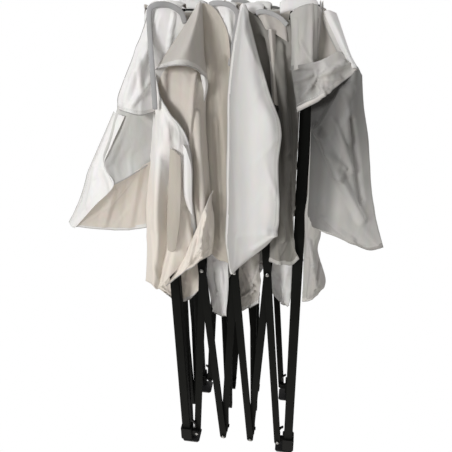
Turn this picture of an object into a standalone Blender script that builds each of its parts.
"""Pop up gazebo, 3 x 4.5 m class, standing nearly folded.

Frame: +X along the three-bay side, +Y along the two-bay side, +Z up, metres.
The origin is on the underside of the front left foot, on the axis of its leg.

Every side is a lazy-tongs chain of crossing bars.  In each crossing the "a" bar
runs from the upper near pivot to the lower far pivot in the outer layer and the
"b" bar runs from the lower near pivot to the upper far pivot in the inner layer.
All bars turn by the same angle, so BAY alone folds and unfolds the bars.
"""
import math
from typing import NamedTuple

import bmesh
import bpy
from mathutils import Matrix, Vector

for old_object in list(bpy.data.objects):
    bpy.data.objects.remove(old_object, do_unlink=True)

MM = 0.001
X, Y, Z = Vector((1, 0, 0)), Vector((0, 1, 0)), Vector((0, 0, 1))

# ---------------------------------------------------------------- driving sizes
BAR_LENGTH = 1.500       # pivot to pivot length of one scissor bar
BAY = 0.105              # width of one bay as it stands
LONG_BAYS = 3
SHORT_BAYS = 2
CORNER = 0.040           # axis of a leg to its nearest pivots, and of a hub to its truss pivot
Z_LOW = 0.045            # lower pivots

BAR_ANGLE = math.asin(BAY / BAR_LENGTH)                # bar from upright
Z_UP = Z_LOW + BAR_LENGTH * math.cos(BAR_ANGLE)        # upper pivots
RIGHT_X = 2 * CORNER + LONG_BAYS * BAY                 # axes of the right legs
BACK_Y = 2 * CORNER + SHORT_BAYS * BAY                 # axes of the back legs

# ---------------------------------------------------------------- bars and pins
BAR_WIDTH = 24 * MM      # bar section, wide side in the plane of its row
BAR_THICK = 12 * MM      # bar section, thin side
BAR_NEAR = 1 * MM        # row plane to the near face of either layer
BAR_FAR = BAR_NEAR + BAR_THICK
HOLE_RADIUS = 3.8 * MM
PIN_RADIUS = 3.0 * MM
HEAD_RADIUS = 7.0 * MM
PIN_END = BAR_FAR + 0.6 * MM       # row plane to the underside of a pin head
HEAD_END = PIN_END + 3.0 * MM      # row plane to the outside of a pin head
PIN_SEGMENTS = 8
HALF_CIRCLE_STEPS = 6

# ---------------------------------------------------------------- arms and hubs
ARM_RADIUS = 11 * MM
LEG_ARM_ROOT = 10 * MM             # leg axis to the root of its arms
SLIDER_ARM_ROOT = 19 * MM          # leg axis to the root of the slider arms
HUB_ARM_ROOT = 20 * MM             # hub axis to the root of its arm
HUB_RADIUS = 14 * MM
HUB_SEGMENTS = 12
HUB_NEAR, HUB_FAR = 15 * MM, 27 * MM   # row plane to the two faces of the boss

# ---------------------------------------------------------------- legs and sliders
LEG_HALF = 16 * MM                 # outer leg, half side
LEG_BORE_HALF = LEG_HALF - 1.8 * MM
LEG_CHAMFER = 2.5 * MM
BORE_CHAMFER_LESS = 0.8 * MM       # chamfer of a bore, less than that of its tube
LEG_Z_LOW = 10 * MM
LEG_TOP = Z_UP + 20 * MM
TUBE_BELOW_TOP = 6 * MM
TUBE_ROOF = 3 * MM                 # thickness of a closed tube end
CAP_HALF = 19 * MM
CAP_BELOW_PIVOT = 26 * MM
CAP_CHAMFER = 3 * MM
CAVITY_BELOW_TOP = 12 * MM

INNER_HALF = 13.5 * MM             # inner leg, half side
INNER_CHAMFER = 2 * MM
INNER_BELOW_PIVOT = 60 * MM
POST_IN_FOOT = 2 * MM              # inner leg sunk into its foot plate
FOOT_OUT = 18 * MM                 # foot plate beyond the leg axis, away from the middle
FOOT_IN = 48 * MM                  # foot plate toward the middle
FOOT_THICK = 5 * MM
FOOT_CHAMFER = 7 * MM

SLIDER_HALF = 21.5 * MM
SLIDER_BORE_HALF = LEG_HALF + 0.5 * MM
SLIDER_CHAMFER = 3 * MM
SLIDER_Z_LOW, SLIDER_Z_UP = 16 * MM, 70 * MM


class Corner(NamedTuple):
    """One leg.  into_x and into_y point along the long and the short side toward
    the middle.  upper_bar_layer gives, for the long and the short side, the layer
    of the bar held at the top: +1 outer, -1 inner.  The lower bar is in the other."""
    x: float
    y: float
    into_x: Vector
    into_y: Vector
    upper_bar_layer: tuple
    leg_origin: Vector
    leg_parent: str
    slider_parent: str


CORNERS = {
    "front_left": Corner(
        0.0, 0.0, X, Y, (1, 1),
        Vector((0, 0, 0)), None, "front_bar_b1"),
    "front_right": Corner(
        RIGHT_X, 0.0, -X, Y, (-1, 1),
        Vector((RIGHT_X - CORNER, 0, Z_UP)), "front_bar_b3", "front_bar_a3"),
    "back_left": Corner(
        0.0, BACK_Y, X, -Y, (1, -1),
        Vector((0, BACK_Y - CORNER, Z_UP)), "left_bar_b2", "back_bar_b1"),
    "back_right": Corner(
        RIGHT_X, BACK_Y, -X, -Y, (-1, -1),
        Vector((RIGHT_X - CORNER, BACK_Y, Z_UP)), "back_bar_b3", "back_bar_a3"),
}

# ---------------------------------------------------------------- materials
FINISHES = {
    "coated_steel": dict(rgb=(0.018, 0.018, 0.020), roughness=0.42, metallic=0.25, coat=0.2),
    "inner_leg": dict(rgb=(0.16, 0.16, 0.17), roughness=0.35, metallic=0.8),
    "moulding": dict(rgb=(0.012, 0.012, 0.013), roughness=0.55),
    "lock": dict(rgb=(0.02, 0.02, 0.022), roughness=0.45),
    "canopy": dict(rgb=(0.80, 0.79, 0.76), roughness=0.85),
}


def make_material(name, rgb, roughness, metallic=0.0, coat=0.0):
    material = bpy.data.materials.new(name)
    material.use_nodes = True
    inputs = material.node_tree.nodes["Principled BSDF"].inputs
    inputs["Base Color"].default_value = (*rgb, 1)
    inputs["Roughness"].default_value = roughness
    inputs["Metallic"].default_value = metallic
    inputs["Coat Weight"].default_value = coat
    material.diffuse_color = (*rgb, 1)
    return material


# ---------------------------------------------------------------- outlines
def ring(centre, radius, segments):
    """A polygon about the centre, turned by half a segment."""
    angles = [math.pi / segments + 2 * math.pi * k / segments for k in range(segments)]
    return [(centre[0] + radius * math.cos(t), centre[1] + radius * math.sin(t)) for t in angles]


def half_circle(centre_y, radius, start):
    """Half a turn, counterclockwise from the start angle, about (0, centre_y)."""
    angles = [start + math.pi * k / HALF_CIRCLE_STEPS for k in range(HALF_CIRCLE_STEPS + 1)]
    return [(radius * math.cos(t), centre_y + radius * math.sin(t)) for t in angles]


def rectangle(x0, y0, x1, y1, chamfer):
    """A rectangle with its four corners cut back."""
    c = chamfer
    return [(x0 + c, y0), (x1 - c, y0), (x1, y0 + c), (x1, y1 - c),
            (x1 - c, y1), (x0 + c, y1), (x0, y1 - c), (x0, y0 + c)]


def square(x, y, half, chamfer):
    return rectangle(x - half, y - half, x + half, y + half, chamfer)


# ---------------------------------------------------------------- skins
def add_walls(bm, first, second):
    """Quads between two closed loops of as many vertices."""
    n = len(first)
    for k in range(n):
        j = (k + 1) % n
        bm.faces.new((first[k], first[j], second[j], second[k]))


def prism(first_points, second_points):
    """A closed skin between two matching loops of 3D points."""
    bm = bmesh.new()
    first = [bm.verts.new(p) for p in first_points]
    second = [bm.verts.new(p) for p in second_points]
    add_walls(bm, first, second)
    bm.faces.new(first)
    bm.faces.new(second)
    bmesh.ops.recalc_face_normals(bm, faces=bm.faces)
    return bm


def upright_prism(outline, z0, z1):
    return prism([(x, y, z0) for x, y in outline], [(x, y, z1) for x, y in outline])


def plate(outline, low, high, frame=Matrix.Identity(4), holes=(), studs=(), side=1):
    """A prism of the outline between two depths, with through holes and with
    headed pins standing on its high side, made as one closed skin.  holes and
    studs are centres; side is the sign of the depths that the pins reach."""
    bm = bmesh.new()

    def loop(points, depth):
        return [bm.verts.new(frame @ Vector((x, y, depth))) for x, y in points]

    outlines = [outline] + [ring(c, HOLE_RADIUS, PIN_SEGMENTS) for c in holes]
    low_loops = [loop(points, low) for points in outlines]
    high_loops = [loop(points, high) for points in outlines]
    stud_loops = []
    for centre in studs:
        shaft = ring(centre, PIN_RADIUS, PIN_SEGMENTS)
        head = ring(centre, HEAD_RADIUS, PIN_SEGMENTS)
        base = loop(shaft, high)
        neck = loop(shaft, side * PIN_END)
        head_under = loop(head, side * PIN_END)
        head_over = loop(head, side * HEAD_END)
        add_walls(bm, base, neck)
        add_walls(bm, neck, head_under)
        add_walls(bm, head_under, head_over)
        bm.faces.new(head_over)
        stud_loops.append(base)
    for low_loop, high_loop in zip(low_loops, high_loops):
        add_walls(bm, low_loop, high_loop)
    for loops in (low_loops, high_loops + stud_loops):
        edges = [bm.edges.get((verts[k], verts[(k + 1) % len(verts)]))
                 for verts in loops for k in range(len(verts))]
        bmesh.ops.triangle_fill(bm, use_beauty=True, use_dissolve=False, edges=edges)
    bmesh.ops.recalc_face_normals(bm, faces=bm.faces)
    return bm


def tube(x, y, half, bore_half, z0, z1, chamfer, open_top):
    """A square tube, open below and, when open_top is true, above."""
    bm = bmesh.new()

    def loop(points, z):
        return [bm.verts.new((*p, z)) for p in points]

    outside = square(x, y, half, chamfer)
    inside = square(x, y, bore_half, chamfer - BORE_CHAMFER_LESS)
    outer_low, outer_high = loop(outside, z0), loop(outside, z1)
    inner_low, inner_high = loop(inside, z0), loop(inside, z1 if open_top else z1 - TUBE_ROOF)
    add_walls(bm, outer_low, outer_high)
    add_walls(bm, inner_low, inner_high)
    add_walls(bm, outer_low, inner_low)
    if open_top:
        add_walls(bm, outer_high, inner_high)
    else:
        bm.faces.new(outer_high)
        bm.faces.new(inner_high)
    bmesh.ops.recalc_face_normals(bm, faces=bm.faces)
    return bm


def combine(operation, *skins):
    """The first skin joined with, or cut by, each of the others."""
    scratch = []
    for bm in skins:
        mesh = bpy.data.meshes.new("scratch")
        bm.to_mesh(mesh)
        bm.free()
        ob = bpy.data.objects.new("scratch", mesh)
        bpy.context.scene.collection.objects.link(ob)
        scratch.append(ob)
    base = scratch[0]
    for ob in scratch[1:]:
        modifier = base.modifiers.new("combine", "BOOLEAN")
        modifier.operation = operation
        modifier.solver = "EXACT"
        modifier.object = ob
    depsgraph = bpy.context.evaluated_depsgraph_get()
    result = bpy.data.meshes.new_from_object(base.evaluated_get(depsgraph))
    for ob in scratch:
        mesh = ob.data
        bpy.data.objects.remove(ob, do_unlink=True)
        bpy.data.meshes.remove(mesh)
    combined = bmesh.new()
    combined.from_mesh(result)
    bpy.data.meshes.remove(result)
    return combined


# ---------------------------------------------------------------- objects
PLACES = {}     # world matrix of every object, by name


def add_object(name, bm, finish, origin, parent=None, turn=None):
    """An object with its origin on its joint axis.  The skin comes in world
    coordinates, or in the object's own coordinates when turn is given."""
    place = Matrix.Translation(origin)
    if turn is None:
        bmesh.ops.translate(bm, verts=bm.verts, vec=-origin)
    else:
        place = place @ turn
    mesh = bpy.data.meshes.new(name)
    bm.to_mesh(mesh)
    bm.free()
    ob = bpy.data.objects.new(name, mesh)
    bpy.context.scene.collection.objects.link(ob)
    mesh.materials.append(make_material(name + "_finish", **FINISHES[finish]))
    if parent:
        ob.parent = bpy.data.objects[parent]
        ob.matrix_parent_inverse = PLACES[parent].inverted()
    ob.matrix_basis = place
    PLACES[name] = place


def upright_basis(along, normal):
    """Axes of a piece that lies in a row: along it, up, and square to it."""
    return Matrix((along, Z, normal)).transposed().to_4x4()


# ---------------------------------------------------------------- bars
def bar_outline(top, bottom):
    """A strip with round ends, from (0, top) to (0, bottom)."""
    half = BAR_WIDTH / 2
    return half_circle(top, half, 0.0) + half_circle(bottom, half, math.pi)


def outer_bar(side):
    """The a bar, with three holes and its origin on the upper one.
    side is the sign of the outward normal."""
    return plate(bar_outline(0.0, -BAR_LENGTH), BAR_NEAR * side, BAR_FAR * side,
                 holes=[(0, 0.0), (0, -BAR_LENGTH / 2), (0, -BAR_LENGTH)])


def inner_bar(side, top_pin, bottom_pin):
    """The b bar, with a pin and its origin at the middle, and at each end a pin
    or a hole."""
    top, bottom = BAR_LENGTH / 2, -BAR_LENGTH / 2
    ends = ((top, top_pin), (bottom, bottom_pin))
    holes = [(0, v) for v, pin in ends if not pin]
    studs = [(0, 0.0)] + [(0, v) for v, pin in ends if pin]
    return plate(bar_outline(top, bottom), -BAR_FAR * side, -BAR_NEAR * side,
                 holes=holes, studs=studs, side=side)


def row_bars(row, start, along, side, bays, first_parent, direct):
    """All the bars of one side or truss, each hung on the one before it.
    start: the first pivot's x and y.  direct: stations between bays are pinned
    bar to bar, without a hub."""
    basis = upright_basis(along, along.cross(Z))
    parent = first_parent
    for k in range(1, bays + 1):
        station = Vector((*start, 0)) + along * BAY * (k - 1)
        upper_pivot = station + Z * Z_UP
        crossing = station + Z * (Z_UP + Z_LOW) / 2 + along * BAY / 2
        a_name, b_name = f"{row}_bar_a{k}", f"{row}_bar_b{k}"
        add_object(a_name, outer_bar(side), "coated_steel", upper_pivot, parent,
                   basis @ Matrix.Rotation(BAR_ANGLE, 4, "Z"))
        b_skin = inner_bar(side, top_pin=direct and k < bays, bottom_pin=direct and k > 1)
        add_object(b_name, b_skin, "coated_steel", crossing, a_name,
                   basis @ Matrix.Rotation(-BAR_ANGLE, 4, "Z"))
        parent = b_name


# ---------------------------------------------------------------- arms and hubs
def arm(axis, along, outward, layer, root):
    """A flat arm from a body to a pivot, with its headed pin.
    axis: point on the body's axis.  along: from the body to the pivot.  outward:
    the row's outward normal.  layer: +1 when the arm stands in the outer layer
    with its pin pointing in, -1 when it stands in the inner layer with its pin
    pointing out.  root: where the arm starts, measured from the axis."""
    pivot = axis + along * CORNER
    frame = Matrix.Translation(pivot) @ upright_basis(along, outward * -layer)
    reach = CORNER - root
    outline = half_circle(0.0, ARM_RADIUS, -math.pi / 2)
    outline += [(-reach, ARM_RADIUS), (-reach, -ARM_RADIUS)]
    return plate(outline, -BAR_FAR, -BAR_NEAR, frame, studs=[(0, 0)])


def hub(name, axis, outward, arm_layer, parent):
    """Station hub behind the two bars of a long side: a round boss whose pin runs
    out through both bars and an arm that holds the cross truss."""
    frame = Matrix.Translation(axis) @ upright_basis(outward.cross(Z), outward)
    boss = plate(ring((0, 0), HUB_RADIUS, HUB_SEGMENTS), -HUB_FAR, -HUB_NEAR, frame,
                 studs=[(0, 0)])
    truss_arm = arm(axis, -outward, -X, arm_layer, HUB_ARM_ROOT)
    add_object(name, combine("UNION", boss, truss_arm), "moulding", axis, parent)


# ---------------------------------------------------------------- legs and sliders
def corner_arms(corner, z, layers, root):
    """The two arms of a leg or slider; layers are those of the arms."""
    axis = Vector((corner.x, corner.y, z))
    return (arm(axis, corner.into_x, -corner.into_y, layers[0], root),
            arm(axis, corner.into_y, -corner.into_x, layers[1], root))


def outer_leg(name):
    """Square tube with a cap and two arms at the top, bored from below."""
    corner = CORNERS[name]
    x, y = corner.x, corner.y
    body = tube(x, y, LEG_HALF, LEG_BORE_HALF, LEG_Z_LOW, LEG_TOP - TUBE_BELOW_TOP,
                LEG_CHAMFER, open_top=False)
    cap = upright_prism(square(x, y, CAP_HALF, CAP_CHAMFER), Z_UP - CAP_BELOW_PIVOT, LEG_TOP)
    cavity = upright_prism(square(x, y, LEG_BORE_HALF, LEG_CHAMFER - BORE_CHAMFER_LESS),
                           0, LEG_TOP - CAVITY_BELOW_TOP)
    arm_layers = tuple(-layer for layer in corner.upper_bar_layer)
    arms = corner_arms(corner, Z_UP, arm_layers, LEG_ARM_ROOT)
    skin = combine("DIFFERENCE", combine("UNION", body, cap, *arms), cavity)
    add_object(f"outer_leg_{name}", skin, "coated_steel", corner.leg_origin, corner.leg_parent)


def inner_leg(name):
    """Post inside the outer leg, on a foot plate that reaches toward the middle."""
    corner = CORNERS[name]
    x, y = corner.x, corner.y
    post = upright_prism(square(x, y, INNER_HALF, INNER_CHAMFER),
                         FOOT_THICK - POST_IN_FOOT, Z_UP - INNER_BELOW_PIVOT)
    x0, x1 = sorted((x - corner.into_x.x * FOOT_OUT, x + corner.into_x.x * FOOT_IN))
    y0, y1 = sorted((y - corner.into_y.y * FOOT_OUT, y + corner.into_y.y * FOOT_IN))
    foot = upright_prism(rectangle(x0, y0, x1, y1, FOOT_CHAMFER), 0, FOOT_THICK)
    add_object(f"inner_leg_{name}", combine("UNION", foot, post), "inner_leg",
               Vector((x, y, 0)), f"outer_leg_{name}")


def slider(name):
    """Square collar round the outer leg, with the two arms of the lower pivots."""
    corner = CORNERS[name]
    body = tube(corner.x, corner.y, SLIDER_HALF, SLIDER_BORE_HALF, SLIDER_Z_LOW, SLIDER_Z_UP,
                SLIDER_CHAMFER, open_top=True)
    arms = corner_arms(corner, Z_LOW, corner.upper_bar_layer, SLIDER_ARM_ROOT)
    origin = Vector((corner.x, corner.y, Z_LOW)) + corner.into_x * CORNER
    add_object(f"slider_{name}", combine("UNION", body, *arms), "moulding",
               origin, corner.slider_parent)


# Centre line of the lever in mm: distance from the leg axis, height above the slider.
LOCK_LINE = [(33.0, 2.2), (35.3, 11.0), (35.2, 20.0), (31.8, 29.0), (26.5, 35.0), (20.5, 38.5)]
LOCK_HALF_WIDTH = 3.2 * MM         # at the foot of the lever
LOCK_TAPER = 0.22 * MM             # taken off the half width at each further point
LOCK_INSET = 1.5 * MM              # faces of the lever inside those of the arm layer
LOCK_CLEARANCE = 0.4 * MM          # least height above the slider
LOCK_ORIGIN_X = 33 * MM            # from the leg axis
LOCK_ORIGIN_RISE = 3 * MM          # above the slider


def lock_outline():
    """Side view of the lever: distance from the leg axis and z."""
    line = [Vector((across * MM, SLIDER_Z_UP + rise * MM)) for across, rise in LOCK_LINE]
    outer, inner = [], []
    for k, point in enumerate(line):
        direction = (line[min(k + 1, len(line) - 1)] - line[max(k - 1, 0)]).normalized()
        offset = Vector((direction.y, -direction.x)) * (LOCK_HALF_WIDTH - LOCK_TAPER * k)
        outer.append(point + offset)
        inner.append(point - offset)
    lowest = SLIDER_Z_UP + LOCK_CLEARANCE
    return [(p.x, max(p.y, lowest)) for p in outer + inner[::-1]]


def lock(name):
    """Curved finger lever above the slider, in the layer of its long side arm,
    with its tip bent back toward the leg."""
    corner = CORNERS[name]
    into = corner.into_x.x
    depth_sign = -corner.into_y.y * corner.upper_bar_layer[0]
    faces = [[(corner.x + into * across, corner.y + depth_sign * depth, z)
              for across, z in lock_outline()]
             for depth in (BAR_NEAR + LOCK_INSET, BAR_FAR - LOCK_INSET)]
    origin = Vector((corner.x + into * LOCK_ORIGIN_X, corner.y, SLIDER_Z_UP + LOCK_ORIGIN_RISE))
    add_object(f"slider_lock_{name}", prism(*faces), "lock", origin, f"slider_{name}")


# ---------------------------------------------------------------- canopy
# Outlines of the hanging cloth, x and z.
LEFT_FLARE = [
    (-0.020, 1.570), (0.085, 1.570), (0.095, 1.30), (0.110, 1.05), (0.120, 0.74),
    (0.045, 0.62), (-0.060, 0.66), (-0.160, 0.76), (-0.270, 0.87), (-0.345, 0.93),
    (-0.300, 1.06), (-0.215, 1.20), (-0.150, 1.36), (-0.065, 1.50),
]
RIGHT_FLARE = [
    (0.415, 1.570), (0.300, 1.570), (0.290, 1.30), (0.280, 1.05), (0.270, 0.74),
    (0.345, 0.60), (0.450, 0.62), (0.540, 0.70), (0.600, 0.78), (0.645, 0.84),
    (0.610, 1.00), (0.565, 1.17), (0.530, 1.36), (0.470, 1.50),
]
FLARE_GAP = 0.033            # leg axis to the near face of the cloth
FLARE_DEPTH_TOP = 0.050
FLARE_DEPTH_HEM = 0.110

ROOF_START, ROOF_END = 0.058, 0.690     # along the bar, from its upper pivot
ROOF_X = (0.292, 0.350)
ROOF_HALF_THICK = 1.5 * MM
# Station of the upper pivot, way the strip runs down along y, left side bar.
ROOF_STRIPS = ((0, 1, "a1"), (1, -1, "b1"), (1, 1, "a2"), (2, -1, "b2"))


def drape(name, outline):
    """A gathered hanging part of the cover, from a plane outside the leg out to a
    face that leans outward toward the hem."""
    corner = CORNERS[name]
    outward = -corner.into_y.y
    near = corner.y + outward * FLARE_GAP
    bottom = min(z for x, z in outline)
    top = max(z for x, z in outline)
    far_points = []
    for x, z in outline:
        drop = (top - z) / (top - bottom)
        depth = FLARE_DEPTH_TOP + (FLARE_DEPTH_HEM - FLARE_DEPTH_TOP) * drop
        far_points.append((x, near + outward * depth, z))
    bm = prism([(x, near, z) for x, z in outline], far_points)
    bmesh.ops.triangulate(bm, faces=bm.faces)
    add_object(f"canopy_{name}", bm, "canopy", Vector((corner.x, corner.y, Z_UP)),
               f"outer_leg_{name}")


def roof_strip(number, station, sign, bar):
    """A narrow strip of the gathered roof cloth, right of the trusses, that hangs
    in line with a left side bar and moves with it."""
    origin = Vector((ROOF_X[0], CORNER + station * BAY, Z_UP))
    down_bar = Vector((0, sign * math.sin(BAR_ANGLE), -math.cos(BAR_ANGLE)))
    normal = Vector((0, math.cos(BAR_ANGLE), sign * math.sin(BAR_ANGLE)))
    half = ROOF_HALF_THICK
    section = [origin + down_bar * distance + normal * offset
               for distance, offset in ((ROOF_START, -half), (ROOF_START, half),
                                        (ROOF_END, half), (ROOF_END, -half))]
    bm = prism(*[[(x, p.y, p.z) for p in section] for x in ROOF_X])
    add_object(f"canopy_roof_{number}", bm, "canopy", origin, f"left_bar_{bar}")


# ---------------------------------------------------------------- assembly
# Each piece follows the one it hangs on.
outer_leg("front_left")
row_bars("front", (CORNER, 0), X, 1, LONG_BAYS, "outer_leg_front_left", direct=False)
row_bars("left", (0, CORNER), Y, -1, SHORT_BAYS, "outer_leg_front_left", direct=True)
outer_leg("front_right")
outer_leg("back_left")
row_bars("back", (CORNER, BACK_Y), X, -1, LONG_BAYS, "outer_leg_back_left", direct=False)
outer_leg("back_right")
row_bars("right", (RIGHT_X, CORNER), Y, 1, SHORT_BAYS, "outer_leg_front_right", direct=True)

# The outer layer of a truss faces -X.  Front upper and back lower hub arms stand in
# the inner layer, the others in the outer one.
for row, y, outward, upper_layer in (("front", 0.0, -Y, -1), ("back", BACK_Y, Y, 1)):
    for k in range(1, LONG_BAYS):
        x = CORNER + k * BAY
        hub(f"{row}_upper_hub_{k}", Vector((x, y, Z_UP)), outward, upper_layer,
            f"{row}_bar_b{k}")
        hub(f"{row}_lower_hub_{k}", Vector((x, y, Z_LOW)), outward, -upper_layer,
            f"{row}_bar_a{k}")
for k in range(1, LONG_BAYS):
    row_bars(f"truss_{k}", (CORNER + k * BAY, CORNER), Y, -1, SHORT_BAYS,
             f"front_upper_hub_{k}", direct=True)

for corner_name in CORNERS:
    inner_leg(corner_name)
    slider(corner_name)
    lock(corner_name)

for corner_name in CORNERS:
    drape(corner_name, LEFT_FLARE if corner_name.endswith("left") else RIGHT_FLARE)
for number, strip in enumerate(ROOF_STRIPS, start=1):
    roof_strip(number, *strip)
